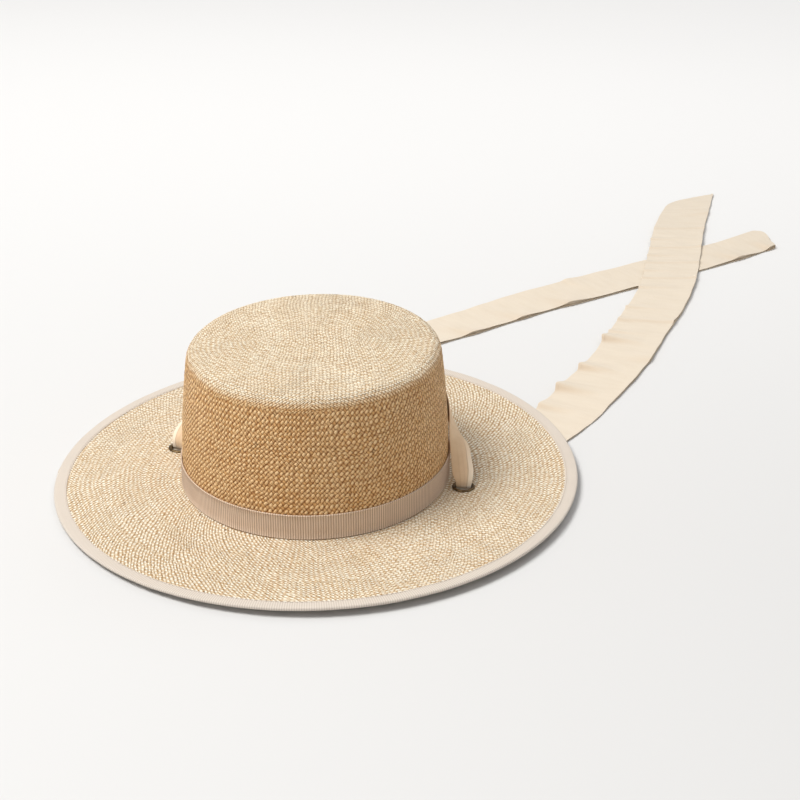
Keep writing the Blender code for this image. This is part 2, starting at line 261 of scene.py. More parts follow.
class Graph:
    """A material's nodes, wired by short calls."""

    def __init__(self, name, roughness, specular=0.3, sheen=0.0):
        self.material = bpy.data.materials.new(name)
        self.material.use_nodes = True
        self.nodes = self.material.node_tree.nodes
        self.links = self.material.node_tree.links
        self.shader = self.nodes["Principled BSDF"]
        self.shader.inputs["Roughness"].default_value = roughness
        self.shader.inputs["Specular IOR Level"].default_value = specular
        self.shader.inputs["Sheen Weight"].default_value = sheen

    def put(self, socket, value):
        if isinstance(value, bpy.types.NodeSocket):
            self.links.new(value, socket)
        else:
            socket.default_value = value

    def math(self, operation, *values):
        node = self.nodes.new("ShaderNodeMath")
        node.operation = operation
        for socket, value in zip(node.inputs, values):
            self.put(socket, value)
        return node.outputs[0]

    def weave_uv(self):
        node = self.nodes.new("ShaderNodeUVMap")
        node.uv_map = "weave"
        return self.parts(node.outputs["UV"])[:2]

    def place(self):
        return self.nodes.new("ShaderNodeTexCoord").outputs["Object"]

    def parts(self, vector):
        node = self.nodes.new("ShaderNodeSeparateXYZ")
        self.put(node.inputs[0], vector)
        return node.outputs

    def times(self, first, *others):
        for value in others:
            first = self.math("MULTIPLY", first, value)
        return first

    def add_times(self, value, factor, base):
        return self.math("MULTIPLY_ADD", value, factor, base)

    def bell(self, value):
        return self.math("EXPONENT", self.times(value, value, -1.0))

    def vector(self, x, y, z=0.0):
        node = self.nodes.new("ShaderNodeCombineXYZ")
        for socket, value in zip(node.inputs, (x, y, z)):
            self.put(socket, value)
        return node.outputs[0]

    def noise(self, vector, scale, detail=2.0, rough=0.5):
        node = self.nodes.new("ShaderNodeTexNoise")
        self.put(node.inputs["Vector"], vector)
        node.inputs["Scale"].default_value = scale
        node.inputs["Detail"].default_value = detail
        node.inputs["Roughness"].default_value = rough
        return node.outputs["Fac"]

    def white(self, vector):
        node = self.nodes.new("ShaderNodeTexWhiteNoise")
        node.noise_dimensions = "3D"
        self.put(node.inputs["Vector"], vector)
        return node.outputs["Value"]

    def smooth(self, value, low, high, out_low=0.0, out_high=1.0):
        node = self.nodes.new("ShaderNodeMapRange")
        node.interpolation_type = "SMOOTHSTEP"
        for socket, part in zip(node.inputs[:5], (value, low, high, out_low, out_high)):
            self.put(socket, part)
        return node.outputs[0]

    def mix(self, share, first, second):
        node = self.nodes.new("ShaderNodeMix")
        node.data_type = "RGBA"
        self.put(node.inputs["Factor"], share)
        self.put(node.inputs[6], first)
        self.put(node.inputs[7], second)
        return node.outputs[2]

    def finish(self, colour, height, distance):
        """The material in this colour, with a bump of this height."""
        bump = self.nodes.new("ShaderNodeBump")
        bump.inputs["Strength"].default_value = 1.0
        bump.inputs["Distance"].default_value = distance
        self.put(bump.inputs["Height"], height)
        self.put(self.shader.inputs["Base Color"], colour)
        self.put(self.shader.inputs["Normal"], bump.outputs[0])
        return self.material


STRAW_SCATTER = 0.30  # how far a pillow's middle strays, in strand widths, in all
STRAW_UNEVEN = 0.26  # how much a pillow's height varies, in all
STRAW_LOWEST = 0.86
STRAW_BUMP = 1.05 * MM
PATCHES_PER_M = 38.0
FLECK_TONE = (0.20, 0.10, 0.035, 1.0)
SEED_HEIGHT, SEED_STRAND, SEED_MOVE_A, SEED_MOVE_B, SEED_SHADE = 3.0, 7.0, 11.0, 17.0, 23.0


def straw(name, light, deep, gap, crest, ring, pale_from=None):
    """Plain-woven straw: pillow-shaped crossings, each strand in its own tone.

    ring is how far a pillow's middle falls back from its crest's tone, a painted highlight. The
    gaps'
    tone is painted shade. pale_from gives the two heights between which the tones turn into the
    brim's:
    the wall's tones are painted shade, and the brim's paler ones are painted light on the crown's
    top.
    """
    g = Graph(name, roughness=0.58, specular=0.35)
    if pale_from is not None:
        # painted light and shade: the wall's darker, warmer tones turn into the brim's paler ones
        # towards the top
        pale = g.smooth(g.parts(g.place())[2], *pale_from)
        tones = zip((light, deep, gap, crest), BRIM_TONES)
        light, deep, gap, crest = [g.mix(pale, low, high) for low, high in tones]
    a, b = g.weave_uv()
    cell_a = g.math("FLOOR", a)
    cell_b = g.math("FLOOR", b)

    def of_cell(seed):
        return g.white(g.vector(cell_a, cell_b, seed))

    def off_middle(value, seed):
        nudge = g.add_times(of_cell(seed), STRAW_SCATTER, -0.5 - STRAW_SCATTER / 2)
        return g.math("ABSOLUTE", g.math("ADD", g.math("FRACT", value), nudge))

    off_a = off_middle(a, SEED_MOVE_A)
    off_b = off_middle(b, SEED_MOVE_B)
    odd = g.math("FLOORED_MODULO", g.math("ADD", cell_a, cell_b), 2.0)
    even = g.math("SUBTRACT", 1.0, odd)

    def either(first, second):
        return g.math("ADD", g.times(even, first), g.times(odd, second))

    def fall(distance, reach):
        share = g.math("DIVIDE", distance, reach)
        return g.math("MAXIMUM", 0.0, g.math("SUBTRACT", 1.0, g.times(share, share)))

    def pillow(x, y, lower):
        shape = g.math("SQRT", g.times(fall(x, PILLOW_ALONG), fall(y, PILLOW_ACROSS)))
        return g.times(shape, g.add_times(lower, LOWER_PILLOW - 1, 1.0))

    cell = of_cell(SEED_HEIGHT)
    beside = either(off_b, off_a)
    lengthwise = either(off_a, off_b)
    uneven = g.add_times(cell, STRAW_UNEVEN, STRAW_LOWEST)
    own = g.times(pillow(lengthwise, beside, odd), uneven)
    neighbour = pillow(g.math("SUBTRACT", 1.0, beside), lengthwise, even)
    height = g.math("MAXIMUM", own, neighbour)
    strand_tone = g.white(g.vector(either(cell_b, cell_a), odd, SEED_STRAND))
    fibre = g.noise(g.vector(g.times(either(a, b), 0.8), g.times(either(b, a), 9.0), 0.0), 1.0)
    patches = g.noise(g.place(), PATCHES_PER_M, detail=3.0)

    tone = g.add_times(strand_tone, 0.30, g.times(of_cell(SEED_SHADE), 0.40))
    tone = g.add_times(patches, 0.60, tone)
    tone = g.add_times(fibre, 0.45, tone)
    colour = g.mix(g.smooth(tone, 0.50, 1.20), light, deep)
    # painted shade: the low ground between the pillows takes the gap tone
    colour = g.mix(g.smooth(height, 0.74, 0.20, 0.0, 1.0), colour, gap)
    # painted highlight: the pillows' crests take the crest tone, less so at each middle
    hollow = g.smooth(height, 0.86, 0.99, 1.0, 1.0 - ring)
    colour = g.mix(g.times(g.smooth(height, 0.66, 0.90, 0.0, 0.75), hollow), colour, crest)
    fleck = g.times(g.smooth(cell, 0.994, 0.996), g.smooth(patches, 0.45, 0.55))
    colour = g.mix(g.times(fleck, g.smooth(height, 0.85, 0.40)), colour, FLECK_TONE)
    return g.finish(colour, g.add_times(fibre, 0.16, height), STRAW_BUMP)


# Tones of the straw: most strands, the darkest strands, the gaps in painted shade and the pillows'
# crests in painted highlight
BRIM_TONES = (
    (0.95, 0.86, 0.67, 1.0),
    (0.87, 0.72, 0.50, 1.0),
    (0.44, 0.24, 0.09, 1.0),
    (0.99, 0.95, 0.85, 1.0),
)
# The crown wall's tones are darker and warmer than the brim's: painted shade on the wall
WALL_SHADE_TONES = (
    (0.88, 0.59, 0.30, 1.0),
    (0.75, 0.43, 0.17, 1.0),
    (0.29, 0.11, 0.025, 1.0),
    (0.94, 0.71, 0.42, 1.0),
)
# how far a wall pillow's middle falls back from its crest's painted highlight
WALL_RING = 0.8
# Heights over which the wall's painted shade gives way to the brim's paler tones, painted light on
# the crown's top
PALE_FROM = (CROWN_TOP - 1.1 * SHOULDER, CROWN_TOP - 0.35 * SHOULDER)

# Tones of the ribbed ribbons, on their ribs and in their valleys, where the deeper tone is painted
# shade, and their fine thread in mm
BAND_TONES = ((0.82, 0.66, 0.52, 1.0), (0.45, 0.32, 0.23, 1.0))
BINDING_TONES = ((0.71, 0.645, 0.57, 1.0), (0.57, 0.50, 0.43, 1.0))
THREAD_TONES = ((0.70, 0.61, 0.52, 1.0), (0.60, 0.52, 0.44, 1.0))
RIBBON_THREAD = 0.5
STITCH_THREAD = 0.3


def grosgrain(name, base, deep, fine):
    """Ribbed ribbon. The first uv counts ribs, the second measures millimetres across."""
    g = Graph(name, roughness=0.82, specular=0.2, sheen=0.15)
    rib, over = g.weave_uv()
    valley = g.math("ABSOLUTE", g.math("COSINE", g.times(rib, pi)))
    thread = g.math("SINE", g.times(over, 2 * pi / fine))
    speckle = g.noise(g.vector(g.times(rib, 2.0), over, 0.0), 1.6, detail=3.0)
    patches = g.noise(g.place(), 55.0)
    # painted shade: the deeper tone gathers in the valleys between the ribs, with random speckle
    # and patches
    tone = g.add_times(valley, 0.85, g.times(speckle, 0.3))
    tone = g.add_times(patches, 0.25, tone)
    colour = g.mix(g.smooth(tone, 0.35, 1.25), base, deep)
    relief = g.add_times(thread, 0.12, g.times(speckle, 0.35))
    return g.finish(colour, relief, 0.12 * MM)


# Tones of the cotton, pale and deeper; of the loop, darker and warmer as painted shade; of the
# painted shade beside its folds; and of the painted highlight on the strips turned to the light
END_TONES = ((0.77, 0.68, 0.56, 1.0), (0.70, 0.60, 0.47, 1.0))
# the loop's cotton is the ties' own, darker and warmer here as painted shade beside the crown
LOOP_SHADE_TONES = ((0.92, 0.69, 0.46, 1.0), (0.80, 0.57, 0.35, 1.0))
FOLD_SHADE_TONE = (0.50, 0.34, 0.20, 1.0)
PLEAT_LIGHT = (0.97, 0.88, 0.74, 1.0)
FOLD_SLANT = 0.010  # how much further along a fold lies at the right edge than at the left
FOLD_HOLD = 0.30  # a one-sided fold's share of its height at the ribbon's middle
FOLD_SPREAD = 1.4  # and how fast that share grows towards its edge
STEEP = 0.35  # a fold's near slope, as a share of its far slope
# painted shade beside a fold: its depth for each metre of the fold's height, and its most
FOLD_DARK = 140  # depth of a fold's tone for each metre of its height
FOLD_DARKEST = 0.42
PLEAT_FADE = (42.0, 8.0)  # distances from an end, in mm, where the pleats start and are full
PLEAT_WAVE = 11.0
PLEAT_SWAY = 2.0


def crepe(name, base, deep, folds=(), pleats=(), whole=0.0):
    """Matte crepe ribbon, deeper in tone beside its folds. The uv is in mm across and along.

    folds run across it, and their deeper tone is painted shade. pleats run lengthwise, each a line
    of painted shade with a strip of painted light beyond it, and fade away from both ends of its
    whole length.
    """
    g = Graph(name, roughness=0.9, specular=0.12, sheen=0.25)
    across, along = g.weave_uv()
    crinkle = g.noise(g.vector(across, along, 0.0), 1.7, detail=4.0, rough=0.6)
    thread = g.times(g.math("SINE", g.times(across, 9.0)), g.math("SINE", g.times(along, 9.0)))
    streak = g.noise(g.vector(g.times(across, 0.05), g.times(along, 0.22), 0.0), 1.0)
    tone = g.add_times(crinkle, 0.5, g.times(streak, 0.35))
    colour = g.mix(g.smooth(tone, 0.25, 0.75), base, deep)
    # painted shade on the near slope of each fold
    for start, side, height, reach in folds:
        near_slope = STEEP * reach
        near = g.add_times(across, -FOLD_SLANT / TIE_WIDTH, along)
        near = g.math("SUBTRACT", near, (start - 0.9 * near_slope) / MM)
        dark = g.bell(g.math("DIVIDE", near, 1.2 * near_slope / MM))
        if side:
            hold = g.add_times(across, FOLD_SPREAD * side * MM / TIE_WIDTH, FOLD_HOLD)
            dark = g.times(dark, g.math("MINIMUM", 1.0, g.math("MAXIMUM", 0.0, hold)))
        colour = g.mix(g.times(dark, min(FOLD_DARKEST, FOLD_DARK * height)), colour, FOLD_SHADE_TONE)
    if pleats:
        from_end = g.math("MINIMUM", along, g.math("SUBTRACT", whole / MM, along))
        fade = g.smooth(from_end, *PLEAT_FADE)
        wave = g.math("SINE", g.math("DIVIDE", from_end, PLEAT_WAVE))
    # painted shade along each pleat, and painted light on the strip beyond it
    for place_mm, reach_mm, depth in pleats:
        bend = g.add_times(wave, PLEAT_SWAY, place_mm)
        off = g.math("DIVIDE", g.math("SUBTRACT", across, bend), reach_mm)
        colour = g.mix(g.times(g.bell(off), fade, depth), colour, FOLD_SHADE_TONE)
        beyond = g.times(g.smooth(off, 0.6, 2.2), g.times(fade, 0.8 * depth))
        colour = g.mix(beyond, colour, PLEAT_LIGHT)
    relief = g.add_times(thread, 0.10, crinkle)
    relief = g.add_times(streak, 1.2, relief)
    return g.finish(colour, relief, 0.16 * MM)


def old_brass(name):
    g = Graph(name, roughness=0.42, specular=0.5)
    g.shader.inputs["Metallic"].default_value = 0.85
    grain = g.noise(g.place(), 900.0, detail=4.0)
    worn = g.noise(g.place(), 260.0, detail=2.0)
    colour = g.mix(g.smooth(worn, 0.4, 0.65), (0.10, 0.065, 0.03, 1.0), (0.26, 0.18, 0.09, 1.0))
    return g.finish(colour, grain, 0.05 * MM)


def plain_floor(name):
    """Matte paper, with painted light: a little paler towards the back."""
    g = Graph(name, roughness=0.9, specular=0.1)
    grain = g.noise(g.place(), 6.0)
    # painted light: the floor's tone rises towards the back
    back = g.smooth(g.parts(g.place())[1], -0.1, 1.1)
    colour = g.mix(back, (0.69, 0.69, 0.69, 1.0), (0.89, 0.89, 0.89, 1.0))
    return g.finish(colour, grain, 0.01 * MM)


# Camera

def make_camera():
    camera = bpy.data.cameras.new("camera")
    camera.lens = CAMERA_LENS
    camera.sensor_width = SENSOR
    camera.sensor_fit = "HORIZONTAL"
    camera.shift_x = (FRAME_SIZE / 2 - ORIGIN_PIXEL[0]) / FRAME_SIZE
    camera.shift_y = (ORIGIN_PIXEL[1] - FRAME_SIZE / 2) / FRAME_SIZE
    holder = bpy.data.objects.new("camera", camera)
    level = CAMERA_DISTANCE * cos(radians(CAMERA_ELEVATION))
    place = Vector((
        level * CAMERA_BEARING[0],
        level * CAMERA_BEARING[1],
        CAMERA_DISTANCE * sin(radians(CAMERA_ELEVATION)),
    ))
    look = (-place).to_track_quat("-Z", "Y").to_matrix().to_4x4()
    roll = Matrix.Rotation(radians(CAMERA_ROLL), 4, "Z")
    holder.matrix_world = Matrix.Translation(place) @ look @ roll
    bpy.context.scene.collection.objects.link(holder)
    bpy.context.scene.camera = holder


# Ties

def between(rows, steps):
    """The rows of a table with smooth rows put in between (a Catmull-Rom curve)."""
    rows = np.asarray(rows, float)
    padded = np.vstack([rows[:1], rows, rows[-1:]])
    t = (np.arange(steps) / steps)[None, :, None]
    p0, p1, p2, p3 = [padded[k:len(rows) - 1 + k, None, :] for k in range(4)]
    curve = 0.5 * (2 * p1 + (p2 - p0) * t + (2 * p0 - 5 * p1 + 4 * p2 - p3) * t ** 2
                   + (3 * p1 - p0 - 3 * p2 + p3) * t ** 3)
    return np.vstack([curve.reshape(-1, rows.shape[1]), rows[-1:]])


def even_rows(rows, centres, spacing):
    """Rows and centres at even steps along the course."""
    run = np.concatenate([[0.0], np.cumsum(np.linalg.norm(np.diff(centres, axis=0), axis=1))])
    count = max(2, int(round(run[-1] / spacing)) + 1)
    at = np.linspace(0.0, run[-1], count)
    rows, centres = [np.stack([np.interp(at, run, column) for column in table.T], axis=-1)
                     for table in (rows, centres)]
    return rows, centres, at


def unit(vectors):
    return vectors / np.maximum(1e-9, np.linalg.norm(vectors, axis=-1, keepdims=True))


RIBBON_THICK = 0.0009
RIBBON_AROUND = 44
EDGE_ROUND = 0.55  # powers that make a round section into a flat one
FACE_ROUND = 0.35
UNDERSIDE_SHIFT = 90  # in mm, so that the two faces of a ribbon differ


def ribbon_mesh(name, centres, sideways, width, at, relief, material):
    """A flat tube of ribbon. relief(across share, along, point) lifts it and widens it."""
    run = unit(np.gradient(centres, axis=0))
    face = unit(np.cross(sideways, run))
    turn = 2 * pi * np.arange(RIBBON_AROUND) / RIBBON_AROUND
    across = np.sign(np.cos(turn)) * np.abs(np.cos(turn)) ** EDGE_ROUND * 0.5
    above = np.sign(np.sin(turn)) * np.abs(np.sin(turn)) ** FACE_ROUND * 0.5
    level = centres[:, None, :] + sideways[:, None, :] * (width[:, None] * across)[..., None]
    rise, spread = relief(across[None, :], at[:, None], level)
    points = level + sideways[:, None, :] * (spread * across)[..., None]
    points = points + face[:, None, :] * (RIBBON_THICK * above + rise)[..., None]
    rows = len(centres)
    faces, step_row, step_column = grid_faces(rows, RIBBON_AROUND)
    over = np.concatenate([across, across[:1]])
    under = np.concatenate([np.where(above < 0, 1.0, 0.0), [0.0]])
    u = over[step_column] * TIE_WIDTH / MM + UNDERSIDE_SHIFT * under[step_column]
    v = at[step_row] / MM
    last = (rows - 1) * RIBBON_AROUND
    ends = [list(range(RIBBON_AROUND))[::-1], list(range(last, last + RIBBON_AROUND))]
    uv = np.stack([u, v], axis=-1).reshape(-1, 2)
    uv = np.concatenate([uv, np.zeros((2 * RIBBON_AROUND, 2))])
    return mesh_object(name, points, faces, uv, material, ends=ends)


# A free end is two layers of cloth. The upper one is lifted by its folds, the lower one lies flat.
LAYER = 0.0004
NOTCH = 0.0022  # how far the gap between the layers reaches in from an edge
END_STEP = 0.0010
FREE_FROM = 0.09  # distance from the eyelet at which the layers part
PARTING = 0.03  # length over which they part
TIP_ROUND = 0.011  # how far the left corner of a tip is drawn back
TIP_LENGTH = 0.035
EDGE_RISE, FINE_RISE, EDGE_STRAY = 0.0003, 0.00018, 0.00045  # sizes of the cloth's waves
FOLD_GAIN = 1.3
FLOOR_GAP = 0.0002
BRIDGE = 0.05  # length of the slope where one free end climbs onto the other
SHARP_DEG = 50.0
# Folds across a free end: distance from the eyelet, side (-1 left, 1 right, 0 both), height
# and length
RIGHT_FOLDS = (
    (0.150, -1, 0.0016, 0.009),
    (0.184, -1, 0.0034, 0.010),
    (0.226, -1, 0.0028, 0.009),
    (0.252, 1, 0.0010, 0.012),
    (0.284, -1, 0.0030, 0.009),
    (0.300, -1, 0.0012, 0.005),
    (0.326, 0, 0.0013, 0.006),
    (0.352, -1, 0.0012, 0.005),
    (0.398, -1, 0.0012, 0.005),
    (0.420, 0, 0.0010, 0.004),
    (0.437, -1, 0.0009, 0.004),
    (0.456, 0, 0.0009, 0.004),
    (0.473, -1, 0.0010, 0.004),
    (0.492, 0, 0.0010, 0.004),
    (0.513, -1, 0.0009, 0.004),
    (0.541, 0, 0.0008, 0.005),
    (0.580, 1, 0.0008, 0.008),
)
LEFT_FOLDS = (
    (0.240, 1, 0.0010, 0.018),
    (0.300, 1, 0.0016, 0.016),
    (0.352, 1, 0.0014, 0.016),
    (0.402, 1, 0.0016, 0.018),
    (0.440, -1, 0.0008, 0.010),
    (0.585, 1, 0.0014, 0.016),
    (0.628, 1, 0.0020, 0.014),
)
RIGHT_OVER = (0.425, 0.500)  # the stretch in which the right end lies on the left one


def two_layers():
    """Section of a free end: share across, how far in from the edge, and layer (3 is the top)."""
    top = [[share, 0.0, 3.0] for share in np.linspace(0.5, -0.5, 41)]
    top[0][2] = top[-1][2] = 2.6
    corners = ((0.0, 2.0), (1.0, 2.0), (1.0, 1.0), (0.0, 1.0), (0.0, 0.0))
    left = [[-0.5, inset, layer] for inset, layer in corners]
    bottom = [[share, 0.0, 0.0] for share in (-0.25, 0.0, 0.25)]
    right = [[-share, inset, layer] for share, inset, layer in left[::-1]]
    return np.array(top + left + bottom + right)


def free_end_mesh(name, centres, sideways, width, lead, at, relief, low, material):
    """A free end. low is the height of its underside in each row."""
    share, inset, layer = two_layers().T
    run = unit(np.gradient(centres, axis=0))
    face = unit(np.cross(sideways, run))
    parted = np.clip((at - FREE_FROM) / PARTING, 0.0, 1.0)[:, None]
    tip = np.clip(1 - (at[-1] - at) / TIP_LENGTH, 0.0, 1.0)[:, None] ** 2
    out = width[:, None] * share - np.sign(share) * inset * NOTCH
    ahead = lead[:, None] * share - TIP_ROUND * tip * np.maximum(0.0, -2 * share) ** 4
    level = centres[:, None, :] + sideways[:, None, :] * out[..., None]
    level = level + run[:, None, :] * ahead[..., None]
    rise, outline = relief(share[None, :], at[:, None], level)
    upper = layer > 1.5
    top = RIBBON_THICK / 2 + parted * rise
    bottom = (1 - parted) * -RIBBON_THICK / 2 + parted * (low - centres[:, 2])[:, None]
    top = np.maximum(top, bottom + 2 * LAYER + 0.0001)
    lift = np.where(upper, top - LAYER * (3.0 - layer), bottom + LAYER * np.clip(layer, 0.0, 1.0))
    for end in (0, -1):
        lift[end] = np.mean(lift[end])
    points = level + sideways[:, None, :] * outline[..., None] + face[:, None, :] * lift[..., None]
    rows, around = len(centres), len(share)
    faces, step_row, step_column = grid_faces(rows, around)
    u = share * TIE_WIDTH / MM + UNDERSIDE_SHIFT * (layer < 0.5)
    uv = np.stack([u[step_column % around], at[step_row] / MM], axis=-1)
    return mesh_object(name, points, faces, uv, material, SHARP_DEG)


def free_end_relief(folds, seed, right_lift):
    """Folds of the upper layer, and how far they push its edges sideways."""
    def relief(across, at, level):
        slow = wander(level, 0.060, seed)
        fine = wander(level, 0.018, seed + 1)
        edge = (2 * np.abs(across)) ** 3
        rise = EDGE_RISE * (1 + slow) * edge + FINE_RISE * (1 + fine)
        rise = rise + right_lift * (0.6 + 0.4 * slow) * np.maximum(0.0, 2 * across) ** 3
        outline = EDGE_STRAY * wander(level, 0.045, seed + 2) * np.sign(across)
        for along, side, height, reach in folds:
            off = at - along - FOLD_SLANT * across
            crest = np.exp(-(off / np.where(off < 0, STEEP * reach, reach)) ** 2)
            hold = 0.4 + 0.6 * edge
            if side:
                hold = np.clip(FOLD_HOLD + FOLD_SPREAD * side * across, 0.0, 1.0) ** 1.3
            rise = rise + FOLD_GAIN * height * crest * hold
            outline = outline + side * 0.5 * height * crest * hold
        return rise, outline
    return relief


def make_tie_end(side, name, table, folds, seed, right_lift, over, material):
    """A free end: it drops through its eyelet, turns under the brim and lies on the surface.

    over is the stretch, from and to, in which it lies on the other end, or None.
    """
    eyelet = eyelet_place(side)
    rows = between(((0.0, 0.0, eyelet.z, 0.0, 0.0),) + table, 40)
    centres = rows[:, :3] + np.array([eyelet.x, eyelet.y, 0.0])
    rows, centres, at = even_rows(rows, centres, END_STEP)
    run = np.gradient(centres, axis=0)
    flat = np.stack([run[:, 0], run[:, 1], np.zeros(len(run))], axis=-1)
    flat[:10] = (0.0, 1.0, 0.0)
    flat = unit(flat)
    sideways = np.stack([flat[:, 1], -flat[:, 0], np.zeros(len(flat))], axis=-1)
    width = PINCH_WIDTH + (TIE_WIDTH - PINCH_WIDTH) * rows[:, 3]
    low = np.full(len(at), FLOOR_GAP)
    if over is not None:
        beyond = np.maximum(over[0] - at, at - over[1])
        bridge = 0.5 + 0.5 * np.cos(pi * np.clip(beyond / BRIDGE, 0.0, 1.0))
        low = low + (centres[:, 2] - RIBBON_THICK / 2 - low) * bridge
    relief = free_end_relief(folds, seed, right_lift)
    piece = free_end_mesh(name, centres, sideways, width, rows[:, 4], at, relief, low, material)
    ride(piece, "tie_cotton", name.replace("_ribbon", ""))


LOOP_LENGTH = 0.3226
# Lengthwise pleats near the eyelets, in mm: place across, reach, depth of its painted shade
LOOP_PLEATS = ((9.0, 1.1, 0.75), (-9.0, 1.6, 0.15), (1.0, 1.2, 0.10))
LOOP_FOLD = 0.0016  # height of the lengthwise fold beside each eyelet
CREASE_ACROSS, CREASE_SWAY, CREASE_REACH = 0.21, 0.05, 0.30  # its place, as shares of the width
LOOP_BULGE = 0.0022  # how much wider the ribbon opens just above its eyelet
BULGE_AT, BULGE_REACH = 0.011, 0.006
LOOP_STEP = 0.0011


def make_tie_loop(material):
    """The stretch that rises from one eyelet, stands behind the crown and drops to the other."""
    mirrored = [(180.0 - row[0],) + row[1:] for row in LOOP[-2::-1]]
    rows = between(LOOP + tuple(mirrored), 30)
    angle = np.radians(rows[:, 0])
    level, _ = oval(angle, EYELET_OUT * rows[:, 1])
    feet = [eyelet_place(1).z + GAP, eyelet_place(-1).z + GAP]
    foot = np.where(rows[:, 0] < 90.0, feet[0], feet[1])
    centres = np.column_stack([level, foot + LOOP_RISE * rows[:, 2]])
    rows, centres, at = even_rows(rows, centres, LOOP_STEP)
    run = unit(np.gradient(centres, axis=0))
    run[0] = (0.0, 0.0, 1.0)
    run[-1] = (0.0, 0.0, -1.0)
    _, way = oval(np.radians(rows[:, 0]), 0.0)
    outward = np.column_stack([way, np.zeros(len(way))])
    outward = unit(outward - run * np.sum(outward * run, axis=1, keepdims=True))
    up = unit(np.cross(outward, run))
    stand = np.radians(rows[:, 4])[:, None]
    sideways = outward * np.cos(stand) - up * np.sin(stand)
    width = PINCH_WIDTH + (TIE_WIDTH - PINCH_WIDTH) * rows[:, 3]
    spread_share = rows[:, 3][:, None]
    whole = float(at[-1])

    def relief(across, along, points):
        from_end = np.minimum(along, whole - along)
        crease = CREASE_ACROSS + CREASE_SWAY * np.sin(from_end / (PLEAT_WAVE * MM))
        ridge = np.maximum(0.0, 1 - np.abs(across - crease) / CREASE_REACH)
        open_share = np.clip(1 - spread_share / 0.5, 0.0, 1.0)
        rise = LOOP_FOLD * ridge * open_share * np.clip(from_end / 0.006, 0.0, 1.0)
        rise = rise + 0.0005 * wander(points, 0.03, 41) * np.clip(spread_share, 0.1, 1.0)
        return rise, LOOP_BULGE * np.exp(-((from_end - BULGE_AT) / BULGE_REACH) ** 2)

    piece = ribbon_mesh("tie_loop_ribbon", centres, sideways, width, at, relief, material)
    ride(piece, "tie_cotton", "tie_loop")


# Crown

WALL_CELLS = 174
CELL_SAMPLES = 4  # mesh steps in one cell of the weave, around and up
COLUMNS = CELL_SAMPLES * WALL_CELLS
WALL_ROW = 0.0036 / CELL_SAMPLES
TOP_CELL_SAMPLES = 3
TOP_TURN = -26.0  # how far the top's strands are turned against the hat's length
TOP_UV_SHIFT = 400  # keeps the top's cells apart from the wall's
RELIEF = 0.42 * MM


def wall_profile(share):
    """Inset, height and slope of the crown wall's outer face."""
    low = CROWN_FOOT
    high = CROWN_TOP - TOP_DOME - SHOULDER
    lean = 2 * WALL_LEAN / (high - low)
    return WALL_LEAN * share ** 2, low + (high - low) * share, lean * share


def top_profile(distance):
    """Inset, height and slope of the top's outer face at a distance from the end of the wall."""
    inset0, height0, lean = wall_profile(1.0)
    arc = SHOULDER * (pi / 2 - lean)
    slope = np.minimum(lean + distance / SHOULDER, pi / 2)
    inset = inset0 + SHOULDER * (cos(lean) - np.cos(slope))
    height = height0 + SHOULDER * (np.sin(slope) - sin(lean))
    beyond = np.maximum(0.0, distance - arc)
    inset = inset + beyond
    edge = float(inset0 + SHOULDER * cos(lean))
    flat = HALF_X - edge
    ease = np.clip(beyond / (flat * 0.6), 0.0, 1.0)
    high = height0 + SHOULDER * (1 - sin(lean))
    height = height + (CROWN_TOP - high) * np.sin(pi / 2 * ease)
    return inset, height, slope


def square_to_oval(x, y):
    """Angle and ring share, 0 at the middle, of a point of the unit square."""
    ring = np.maximum(np.abs(x), np.abs(y))
    safe = np.maximum(ring, 1e-9)
    right = np.abs(x) >= np.abs(y)
    below_x = np.where(right & (x != 0), x, safe)
    below_y = np.where(~right & (y != 0), y, safe)
    side_angle = pi / 4 * y / below_x + np.where(x < 0, pi, 0.0)
    end_angle = pi / 2 - pi / 4 * x / below_y + np.where(y < 0, pi, 0.0)
    return np.where(right, side_angle, end_angle), ring


